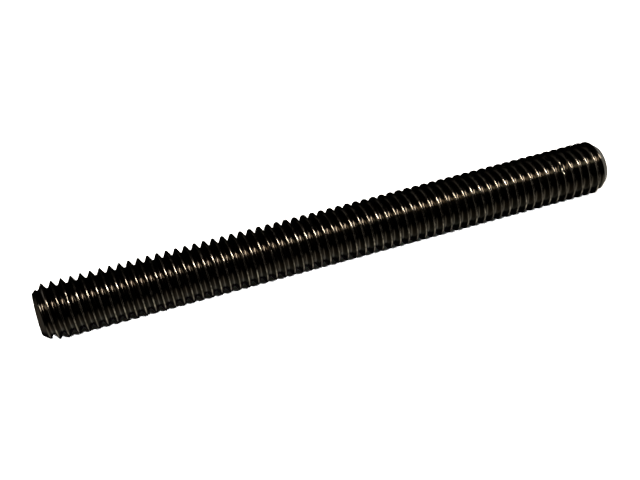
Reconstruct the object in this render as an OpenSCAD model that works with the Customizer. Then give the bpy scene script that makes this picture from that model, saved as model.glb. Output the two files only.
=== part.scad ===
// Fully threaded steel rod: a plain stud with one screw thread from end to end
// and a turned chamfer at each end. The rod lies along X, centred on the origin, with Z up.

/* [Rod] */
// Overall length between the two end faces
rod_length = 101.6; // [25.4:0.1:101.6]
// Outside diameter over the thread crests
major_diameter = 9.525; // [8:0.005:12]

/* [Thread] */
// Distance along the rod from one crest to the next
thread_pitch = 1.5875; // [1.5:0.0125:1.8]
// Included angle between the two flanks of a groove
thread_angle = 60; // [58:1:60]
// Flat segments that make one turn of the groove
turn_segments = 20; // [16:4:20]

/* [Ends] */
// Length of the chamfer along the rod
chamfer_length = 1.6; // [0.8:0.1:2]
// How far the rim of the end face lies inside the root of the thread
face_inset = 0.3; // [0.28:0.01:0.6]

/* [Hidden] */
round_fn = 96;
major_radius = major_diameter / 2;
// Height of the sharp V that the flanks would make without flats
sharp_height = thread_pitch / 2 / tan(thread_angle / 2);
// Basic profile of a 60 degree screw: the crest flat is 1/8 of the pitch, which puts the
// sharp V's point 7/8 of its height below the crest, and the root is filled up to 17/24
minor_radius = major_radius - sharp_height * 17 / 24;
sharp_root_radius = major_radius - sharp_height * 7 / 8;
face_radius = minor_radius - face_inset;
// The cutter stands a little proud of the crests, but its turns don't meet there
cutter_radius = major_radius + sharp_height / 16;
cutter_half_width = (cutter_radius - sharp_root_radius) * tan(thread_angle / 2);
// One turn to spare past each end face
cutter_turns = rod_length / thread_pitch + 2;
cutter_steps = round(cutter_turns * turn_segments);
// Where the cut starts, turned from +Y towards +Z. Half a turn puts a crest, not a
// groove, on +Y at the middle of a rod that is a whole and even number of turns long
start_angle = 180;

// One corner of the groove's V section, turned and moved along the helix.
// Right-handed: the groove runs towards +X as it turns from +Y to +Z.
function helix_point(step, radius, offset) =
    let (turn = start_angle + 360 * step / turn_segments)
    let (along = thread_pitch * (step / turn_segments - cutter_turns / 2) + offset)
    [along, radius * cos(turn), radius * sin(turn)];

// A sharp V swept along the helix, wider than the thread and longer than the rod
module groove_cutter() {
    points = [
        for (step = [0:cutter_steps])
            each [
                helix_point(step, sharp_root_radius, 0),
                helix_point(step, cutter_radius, -cutter_half_width),
                helix_point(step, cutter_radius, cutter_half_width)
            ]
    ];
    sides = [
        for (step = [0:cutter_steps - 1], side = [0:2])
            let (a = 3 * step + side)
            let (b = 3 * step + (side + 1) % 3)
            each [[a, b, a + 3], [b, b + 3, a + 3]]
    ];
    last = 3 * cutter_steps;
    caps = [[0, 2, 1], [last, last + 1, last + 2]];
    polyhedron(points = points, faces = concat(sides, caps), convexity = 10);
}

// A bar turned to the crest diameter, with a chamfer at each end
module blank() {
    half = rod_length / 2;
    rotate([0, 90, 0])
        rotate_extrude($fn = round_fn)
            polygon([
                [0, -half],
                [face_radius, -half],
                [major_radius, chamfer_length - half],
                [major_radius, half - chamfer_length],
                [face_radius, half],
                [0, half]
            ]);
}

// The solid metal inside the thread, which gives the groove its narrow round root
module core() {
    rotate([0, 90, 0])
        cylinder(h = 2 * rod_length, r = minor_radius, center = true, $fn = round_fn);
}

module threaded_rod() {
    color([0.09, 0.09, 0.085])
        difference() {
            blank();
            difference() {
                groove_cutter();
                core();
            }
        }
}

threaded_rod();
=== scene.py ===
"""A fully threaded dark steel rod lying on a white table, seen from above and in front.

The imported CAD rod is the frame. One finely turned mesh replaces it for looks, with rounded
crests and roots, broken edges, small nicks and turned end faces.
"""

import math

import bmesh
import bpy
import numpy as np
from mathutils import Matrix, Vector


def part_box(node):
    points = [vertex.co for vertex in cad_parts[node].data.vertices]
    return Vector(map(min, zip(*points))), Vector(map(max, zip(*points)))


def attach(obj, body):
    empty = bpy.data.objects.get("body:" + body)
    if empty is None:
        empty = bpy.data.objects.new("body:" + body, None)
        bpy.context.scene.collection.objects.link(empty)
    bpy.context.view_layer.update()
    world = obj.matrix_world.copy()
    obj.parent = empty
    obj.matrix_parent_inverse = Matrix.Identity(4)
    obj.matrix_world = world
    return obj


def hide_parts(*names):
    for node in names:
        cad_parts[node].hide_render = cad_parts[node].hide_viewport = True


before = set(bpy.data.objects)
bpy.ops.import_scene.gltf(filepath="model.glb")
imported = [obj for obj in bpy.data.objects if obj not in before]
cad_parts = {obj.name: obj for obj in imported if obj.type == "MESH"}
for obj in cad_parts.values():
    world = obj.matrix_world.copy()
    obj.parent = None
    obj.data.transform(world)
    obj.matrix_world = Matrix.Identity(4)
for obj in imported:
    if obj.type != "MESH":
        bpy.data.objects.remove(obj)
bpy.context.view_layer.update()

MM = 0.001

# The rod, from the CAD node's own box
rod_low, rod_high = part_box("threaded_rod")
ROD_LENGTH = rod_high.x - rod_low.x
MAJOR_RADIUS = (rod_high.z - rod_low.z) / 2
FLOOR_HEIGHT = rod_low.z

# The thread: a 60 degree screw with this many turns from end to end
THREAD_TURNS = 64
PITCH = ROD_LENGTH / THREAD_TURNS
FLANK_SLOPE = math.tan(math.radians(30))
SHARP_HEIGHT = PITCH / 2 / FLANK_SLOPE
THREAD_DEPTH = SHARP_HEIGHT * 17 / 24
MINOR_RADIUS = MAJOR_RADIUS - THREAD_DEPTH
CREST_HALF_WIDTH = 1 / 16        # in pitches
CREST_ROUNDING = 0.11 * MM
ROOT_ROUNDING = 0.16 * MM

# The ends: the flat face lies inside the thread's root, and its edge is broken
CHAMFER_LENGTH = 1.6 * MM
FACE_INSET = 0.3 * MM
FACE_RADIUS = MINOR_RADIUS - FACE_INSET
END_EDGE = 0.06 * MM
EDGE_STEPS = 3
FACE_RING_SHARES = (0.7, 0.35)

# How finely the thread is meshed: columns round the rod, and rows across one pitch, as
# distances from the crest's middle in pitches
COLUMNS = 96
ROW_PLACES = (0, 0.045, 0.0625, 0.08, 0.2, 0.32, 0.40, 0.44)

# Knocks on the crests: a few larger ones listed as (x, angle, size, depth), in mm and
# degrees from +Y over the top, and many small ones scattered from this seed
LARGE_NICKS = (
    (41.6, 116, 0.95, 0.32),
    (40.4, 83, 0.50, 0.18),
    (47.3, 106, 0.55, 0.18),
    (-45.6, 112, 0.60, 0.16),
    (-31.0, 96, 0.45, 0.14),
    (-12.4, 124, 0.50, 0.14),
    (9.1, 103, 0.45, 0.15),
    (24.7, 134, 0.50, 0.16),
    (-22.0, 205, 0.60, 0.20),
    (30.5, 20, 0.55, 0.20),
)
SMALL_NICKS = 160
SMALL_NICK_REACH = 48            # how far from the middle of the rod, in mm
SMALL_NICK_SIZES = (0.12, 0.35)  # the least and most, in mm
SMALL_NICK_DEPTHS = (0.02, 0.08)
NICKED_HEIGHT = 0.35 * MM        # a knock fades out this far below the crests
SEED = 7

# Colours of the metal, as linear reflectance
OXIDE_WARM = (0.067, 0.057, 0.045, 1)
OXIDE_COOL = (0.050, 0.048, 0.040, 1)
ROOT_OIL = (0.048, 0.040, 0.031, 1)
BARE_DULL = (0.070, 0.061, 0.049, 1)
BARE_BRIGHT = (0.30, 0.267, 0.218, 1)

# How fine the patterns in the metal are, in noise cells to the metre
PATCH_SCALE = 260
MOTTLE_SCALE = 1100
LAY_ALONG, LAY_ACROSS = 9000, 700
TOOL_MARK_SPACING = 0.14 * MM

# How far below the crests the oxide is rubbed away, and how far up from the root oil gathers
RUBBED_DEPTH, WHOLLY_RUBBED_DEPTH = 0.16 * MM, 0.02 * MM
OILED_HEIGHT = 0.3 * MM
SMOOTHEST, ROUGHEST, LAY_ROUGHNESS = 0.09, 0.18, 0.06
BUMP_STRENGTH, BUMP_DEPTH = 0.35, 0.02 * MM

# The strip lamp, high over the rod and turned a little from its axis
LAMP_LENGTH, LAMP_WIDTH = 0.5, 0.085
LAMP_PLACE = (0.119, -0.074, 0.5)
LAMP_YAW = math.radians(-17)

# Glows in the dark room: one low in front, and one off each end of the rod
FRONT_GLOW = (0.98, 0.97, 0.85, 1)
END_GLOW = (0.70, 0.68, 0.62, 1)

# The camera looks at a point near the middle of the rod from this far away
CAMERA_AIM = Vector((-2.65, 0, -0.26)) * MM
CAMERA_DISTANCE = 176.2 * MM
CAMERA_PITCH = math.radians(49.7)
CAMERA_YAW = math.radians(19.6)
CAMERA_ROLL = math.radians(0.2)
CAMERA_LENS = 58.0


def smooth_min(a, b, width):
    """The lower of two heights, with the corner between them rounded over that width."""
    mix = np.clip(0.5 + 0.5 * (b - a) / width, 0, 1)
    return b * (1 - mix) + a * mix - width * mix * (1 - mix)


def thread_radius(from_crest):
    """Radius of the thread at a distance from the middle of a crest, in pitches."""
    drop = (np.abs(from_crest) - CREST_HALF_WIDTH) * PITCH / FLANK_SLOPE
    flank = MAJOR_RADIUS - drop
    below_crest = smooth_min(flank, MAJOR_RADIUS + CREST_ROUNDING / 4, CREST_ROUNDING)
    below_crest = np.minimum(below_crest, MAJOR_RADIUS)
    return -smooth_min(-below_crest, np.full_like(below_crest, -MINOR_RADIUS), ROOT_ROUNDING)


def chamfer_radius(x):
    """Radius of the chamfer's cone at a place along the rod."""
    from_end = ROD_LENGTH / 2 - np.abs(x)
    return FACE_RADIUS + from_end * (MAJOR_RADIUS - FACE_RADIUS) / CHAMFER_LENGTH


def knock_crests(x, radius, angles):
    """Dents the crests where they have been knocked."""
    rng = np.random.default_rng(SEED)
    small = np.column_stack([
        rng.uniform(-SMALL_NICK_REACH, SMALL_NICK_REACH, SMALL_NICKS),
        rng.uniform(0, 360, SMALL_NICKS),
        rng.uniform(*SMALL_NICK_SIZES, SMALL_NICKS),
        rng.uniform(*SMALL_NICK_DEPTHS, SMALL_NICKS),
    ])
    height = np.clip((radius - MAJOR_RADIUS) / NICKED_HEIGHT + 1, 0, 1)
    dented = radius.copy()
    for place, angle, size, depth in [*LARGE_NICKS, *small]:
        aside = (angles - math.radians(angle) + math.pi) % (2 * math.pi) - math.pi
        away = ((x - place * MM) ** 2 + (aside * MAJOR_RADIUS) ** 2) / (size * MM) ** 2
        dented -= height * depth * MM * np.exp(-away)
    return dented


def thread_grid():
    """Places of the thread's vertices, by row and column, and how many rows make one pitch.

    A row follows the helix round the rod, so it ends one pitch further on than it starts. Rows
    that would run past an end are gathered at it.
    """
    half = sorted(ROW_PLACES)
    places = np.array([-p for p in half[:0:-1]] + list(half) + [0.5])
    rows_per_pitch = len(places)
    crests = np.arange(-2, THREAD_TURNS + 3) - THREAD_TURNS / 2
    row_x = (crests[:, None] + places[None, :]).ravel() * PITCH
    from_crest = np.tile(places, len(crests))
    turn = np.arange(COLUMNS) / COLUMNS
    end = ROD_LENGTH / 2 - END_EDGE
    x = np.clip(row_x[:, None] + turn[None, :] * PITCH, -end, end)
    radius = np.repeat(thread_radius(from_crest)[:, None], COLUMNS, axis=1)
    radius = smooth_min(radius, chamfer_radius(x), CREST_ROUNDING)
    angles = turn * 2 * math.pi
    return x, knock_crests(x, radius, angles), angles, rows_per_pitch


def ring_points(x, radius, angles):
    """A ring of points round the rod's axis."""
    return np.column_stack([
        np.full_like(angles, x),
        radius * np.cos(angles),
        radius * np.sin(angles),
    ])


def end_profile():
    """Rings from the chamfer's foot to the middle of an end face, as (depth, radius)."""
    rings = []
    for i in range(EDGE_STEPS + 1):
        bend = math.pi / 2 * i / EDGE_STEPS
        depth = END_EDGE * (1 - math.sin(bend))
        rings.append((depth, FACE_RADIUS - END_EDGE * (1 - math.cos(bend))))
    for share in FACE_RING_SHARES:
        rings.append((0, FACE_RADIUS * share))
    return rings


def thread_faces(x, pitch_rows):
    """Faces between the rows of the thread, leaving out those gathered at an end.

    The last column joins the first one of the row that starts where its own row ends.
    """
    rows = x.shape[0] - pitch_rows - 1
    row, column = np.meshgrid(np.arange(rows), np.arange(COLUMNS), indexing="ij")
    across = (column + 1) % COLUMNS
    ahead = row + pitch_rows * (column == COLUMNS - 1)
    faces = np.stack([
        row * COLUMNS + column,
        ahead * COLUMNS + across,
        (ahead + 1) * COLUMNS + across,
        (row + 1) * COLUMNS + column,
    ], axis=-1).reshape(-1, 4)
    return faces[np.ptp(x.ravel()[faces], axis=1) > 0].tolist()


def end_cap(side, first, angles):
    """Vertices and faces that close one end, for a mesh that already has first vertices."""
    rings = end_profile()
    vertices = [ring_points(side * (ROD_LENGTH / 2 - depth), radius, angles) for depth, radius in rings]
    vertices.append(np.array([[side * ROD_LENGTH / 2, 0, 0]]))
    faces = []
    for i in range(len(rings)):
        here = first + i * COLUMNS
        for c in range(COLUMNS):
            n = (c + 1) % COLUMNS
            if i == len(rings) - 1:
                face = [here + c, here + n, here + COLUMNS]
            else:
                face = [here + c, here + n, here + COLUMNS + n, here + COLUMNS + c]
            faces.append(face[::-1] if side < 0 else face)
    return np.concatenate(vertices), faces


def rod_mesh():
    """The rod as one closed mesh: the thread's surface, then rings over each end."""
    x, radius, angles, pitch_rows = thread_grid()
    points = np.stack([x, radius * np.cos(angles), radius * np.sin(angles)], axis=-1)
    vertices = points.reshape(-1, 3)
    faces = thread_faces(x, pitch_rows)
    for side in (-1, 1):
        cap_vertices, cap_faces = end_cap(side, len(vertices), angles)
        vertices = np.concatenate([vertices, cap_vertices])
        faces += cap_faces

    mesh = bpy.data.meshes.new("threaded_rod_fine")
    mesh.from_pydata(vertices.tolist(), [], faces)
    work = bmesh.new()
    work.from_mesh(mesh)
    bmesh.ops.remove_doubles(work, verts=work.verts, dist=1e-7)
    bmesh.ops.dissolve_degenerate(work, edges=work.edges, dist=1e-8)
    loose = [v for v in work.verts if not v.link_faces]
    bmesh.ops.delete(work, geom=loose, context="VERTS")
    bmesh.ops.recalc_face_normals(work, faces=work.faces)
    work.to_mesh(mesh)
    work.free()
    mesh.shade_smooth()
    return mesh


def steel_material():
    """Black oxide on steel with a film of oil, rubbed brighter on the crests."""
    material = bpy.data.materials.new("dark_oxide_steel")
    material.use_nodes = True
    nodes, links = material.node_tree.nodes, material.node_tree.links
    shader = nodes["Principled BSDF"]

    def add(kind, inputs, **settings):
        """One node with its settings, and each input linked or set."""
        node = nodes.new(kind)
        for name, value in settings.items():
            setattr(node, name, value)
        for name, value in inputs.items():
            if isinstance(value, bpy.types.NodeSocket):
                links.new(value, node.inputs[name])
            else:
                node.inputs[name].default_value = value
        return node

    def noise(vector, scale, detail=2.0):
        node = add("ShaderNodeTexNoise", {"Vector": vector, "Scale": scale, "Detail": detail})
        return node.outputs["Fac"]

    def stretched(vector, x, y, z):
        return add("ShaderNodeMapping", {"Vector": vector, "Scale": (x, y, z)}).outputs["Vector"]

    def fade(value, start, end, low, high):
        """Turns start..end of a value into low..high, smoothly and clamped."""
        node = add(
            "ShaderNodeMapRange",
            {"Value": value, "From Min": start, "From Max": end, "To Min": low, "To Max": high},
            interpolation_type="SMOOTHSTEP",
        )
        return node.outputs["Result"]

    def math_node(operation, *values):
        node = add("ShaderNodeMath", dict(enumerate(values)), operation=operation)
        return node.outputs["Value"]

    def times(a, b):
        return math_node("MULTIPLY", a, b)

    def plus(a, b):
        return math_node("ADD", a, b)

    def blend(share, a, b):
        node = add("ShaderNodeMix", {0: share, 6: a, 7: b}, data_type="RGBA")
        return node.outputs[2]

    coordinates = add("ShaderNodeTexCoord", {}).outputs
    place = coordinates["Object"]
    split = add("ShaderNodeSeparateXYZ", {"Vector": place}).outputs
    across = add("ShaderNodeCombineXYZ", {"Y": split["Y"], "Z": split["Z"]}).outputs["Vector"]
    radius = add("ShaderNodeVectorMath", {0: across}, operation="LENGTH").outputs["Value"]

    # Patches of thicker and thinner oxide, a few millimetres across, and finer mottling
    patches = noise(place, PATCH_SCALE)
    mottle = noise(place, MOTTLE_SCALE, 4.0)
    # Rolling marks run round the thread, so they are short along the rod and long around it
    lay = noise(stretched(place, LAY_ALONG, LAY_ACROSS, LAY_ACROSS), 1)
    # The end faces were turned, so tool marks ring them
    normal = add("ShaderNodeSeparateXYZ", {"Vector": coordinates["Normal"]}).outputs["X"]
    facing = fade(math_node("ABSOLUTE", normal), 0.9, 1, 0, 1)
    waved = plus(times(radius, 2 * math.pi / TOOL_MARK_SPACING), times(patches, 4))
    tool_rings = math_node("SINE", waved)
    # Bare metal shows on the crests, more in some places than in others
    crest = fade(radius, MAJOR_RADIUS - RUBBED_DEPTH, MAJOR_RADIUS - WHOLLY_RUBBED_DEPTH, 0, 1)
    worn = times(crest, fade(patches, 0.35, 0.65, 0.25, 1))
    root = fade(radius, MINOR_RADIUS, MINOR_RADIUS + OILED_HEIGHT, 1, 0)

    oxide = blend(fade(patches, 0.35, 0.65, 0, 1), OXIDE_WARM, OXIDE_COOL)
    oxide = blend(times(root, 0.85), oxide, ROOT_OIL)
    bare = blend(fade(mottle, 0.35, 0.65, 0, 1), BARE_DULL, BARE_BRIGHT)
    links.new(blend(worn, oxide, bare), shader.inputs["Base Color"])

    rough = plus(fade(mottle, 0.3, 0.7, SMOOTHEST, ROUGHEST), times(lay, LAY_ROUGHNESS))
    links.new(rough, shader.inputs["Roughness"])
    relief = plus(plus(times(lay, 0.6), mottle), times(facing, tool_rings))
    bump = add("ShaderNodeBump", {"Height": relief, "Strength": BUMP_STRENGTH, "Distance": BUMP_DEPTH})
    links.new(bump.outputs["Normal"], shader.inputs["Normal"])
    shader.inputs["Metallic"].default_value = 1
    return material


def make_rod():
    rod = bpy.data.objects.new("threaded_rod_fine", rod_mesh())
    bpy.context.scene.collection.objects.link(rod)
    rod.data.materials.append(steel_material())
    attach(rod, "root")
    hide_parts("threaded_rod")


def make_floor():
    """A white table top, left out of the rod's reflections so that the metal stays dark."""
    reach = 3.0
    mesh = bpy.data.meshes.new("floor")
    corners = [(-reach, -reach), (reach, -reach), (reach, reach), (-reach, reach)]
    mesh.from_pydata([(x, y, FLOOR_HEIGHT) for x, y in corners], [], [(0, 1, 2, 3)])
    floor = bpy.data.objects.new("floor", mesh)
    bpy.context.scene.collection.objects.link(floor)
    paper = bpy.data.materials.new("white_table")
    paper.use_nodes = True
    shader = paper.node_tree.nodes["Principled BSDF"]
    shader.inputs["Base Color"].default_value = (0.85, 0.85, 0.85, 1)
    shader.inputs["Roughness"].default_value = 0.9
    shader.inputs["Specular IOR Level"].default_value = 0
    mesh.materials.append(paper)
    floor.visible_glossy = False


def make_lights():
    """A soft strip lamp over the rod, and a sun that whitens the table but leaves no glint."""
    strip = bpy.data.lights.new("strip", "AREA")
    strip.shape = "RECTANGLE"
    strip.size = LAMP_LENGTH
    strip.size_y = LAMP_WIDTH
    strip.energy = 5.3
    strip.color = (1.0, 0.93, 0.84)
    lamp = bpy.data.objects.new("strip", strip)
    lamp.location = LAMP_PLACE
    lamp.rotation_euler.z = LAMP_YAW
    bpy.context.scene.collection.objects.link(lamp)

    sun = bpy.data.lights.new("table_sun", "SUN")
    sun.energy = 7.5
    sun.angle = math.radians(4)
    sun_lamp = bpy.data.objects.new("table_sun", sun)
    sun_lamp.rotation_euler = (math.radians(44), 0, math.radians(-45))
    sun_lamp.visible_glossy = False
    bpy.context.scene.collection.objects.link(sun_lamp)


def make_world():
    """What the metal reflects away from the lamp: a dark room, with a glow low in front.

    Two fainter glows off the rod's ends show the end faces. The camera itself sees white.
    """
    world = bpy.data.worlds.new("room")
    world.use_nodes = True
    nodes, links = world.node_tree.nodes, world.node_tree.links
    place = nodes.new("ShaderNodeTexCoord").outputs["Generated"]

    def glow(toward, start, end, color):
        """Rises from almost nothing to a colour as a direction comes round to the one given."""
        dot = nodes.new("ShaderNodeVectorMath")
        dot.operation = "DOT_PRODUCT"
        dot.inputs[1].default_value = toward
        links.new(place, dot.inputs[0])
        ramp = nodes.new("ShaderNodeValToRGB")
        dark, lit = ramp.color_ramp.elements
        dark.position, dark.color = start, (0.001, 0.001, 0.001, 1)
        lit.position, lit.color = end, color
        links.new(dot.outputs["Value"], ramp.inputs["Fac"])
        return ramp.outputs["Color"]

    def mix(blend_type, share, a, b):
        node = nodes.new("ShaderNodeMix")
        node.data_type, node.blend_type = "RGBA", blend_type
        for socket, value in zip((node.inputs[0], node.inputs[6], node.inputs[7]), (share, a, b)):
            if isinstance(value, bpy.types.NodeSocket):
                links.new(value, socket)
            else:
                socket.default_value = value
        return node.outputs[2]

    front = glow((0, -0.707, -0.707), 0.68, 0.95, FRONT_GLOW)
    left = glow((-0.95, 0.15, -0.27), 0.75, 0.97, END_GLOW)
    right = glow((0.95, 0.15, -0.27), 0.75, 0.97, END_GLOW)
    room = mix("ADD", 1, mix("ADD", 1, front, left), right)
    seen = nodes.new("ShaderNodeLightPath").outputs["Is Camera Ray"]
    links.new(mix("MIX", seen, room, (1, 1, 1, 1)), nodes["Background"].inputs["Color"])
    bpy.context.scene.world = world


def make_camera():
    """Looks down at the rod from in front, with the rod's far end to the right."""
    level = Vector((math.cos(CAMERA_YAW), -math.sin(CAMERA_YAW), 0))
    ahead = Vector((math.sin(CAMERA_YAW), math.cos(CAMERA_YAW), 0))
    forward = ahead * math.cos(CAMERA_PITCH) - Vector((0, 0, math.sin(CAMERA_PITCH)))
    right = level * math.cos(CAMERA_ROLL) + level.cross(forward) * math.sin(CAMERA_ROLL)
    up = right.cross(forward)
    camera = bpy.data.objects.new("camera", bpy.data.cameras.new("camera"))
    camera.data.sensor_width = 36.0
    camera.data.lens = CAMERA_LENS
    camera.data.clip_start = 0.005
    turn = Matrix((right, up, -forward)).transposed().to_4x4()
    camera.matrix_world = Matrix.Translation(CAMERA_AIM - forward * CAMERA_DISTANCE) @ turn
    bpy.context.scene.collection.objects.link(camera)
    bpy.context.scene.camera = camera


make_rod()
make_floor()
make_lights()
make_world()
make_camera()
bpy.context.scene.view_settings.view_transform = "Standard"
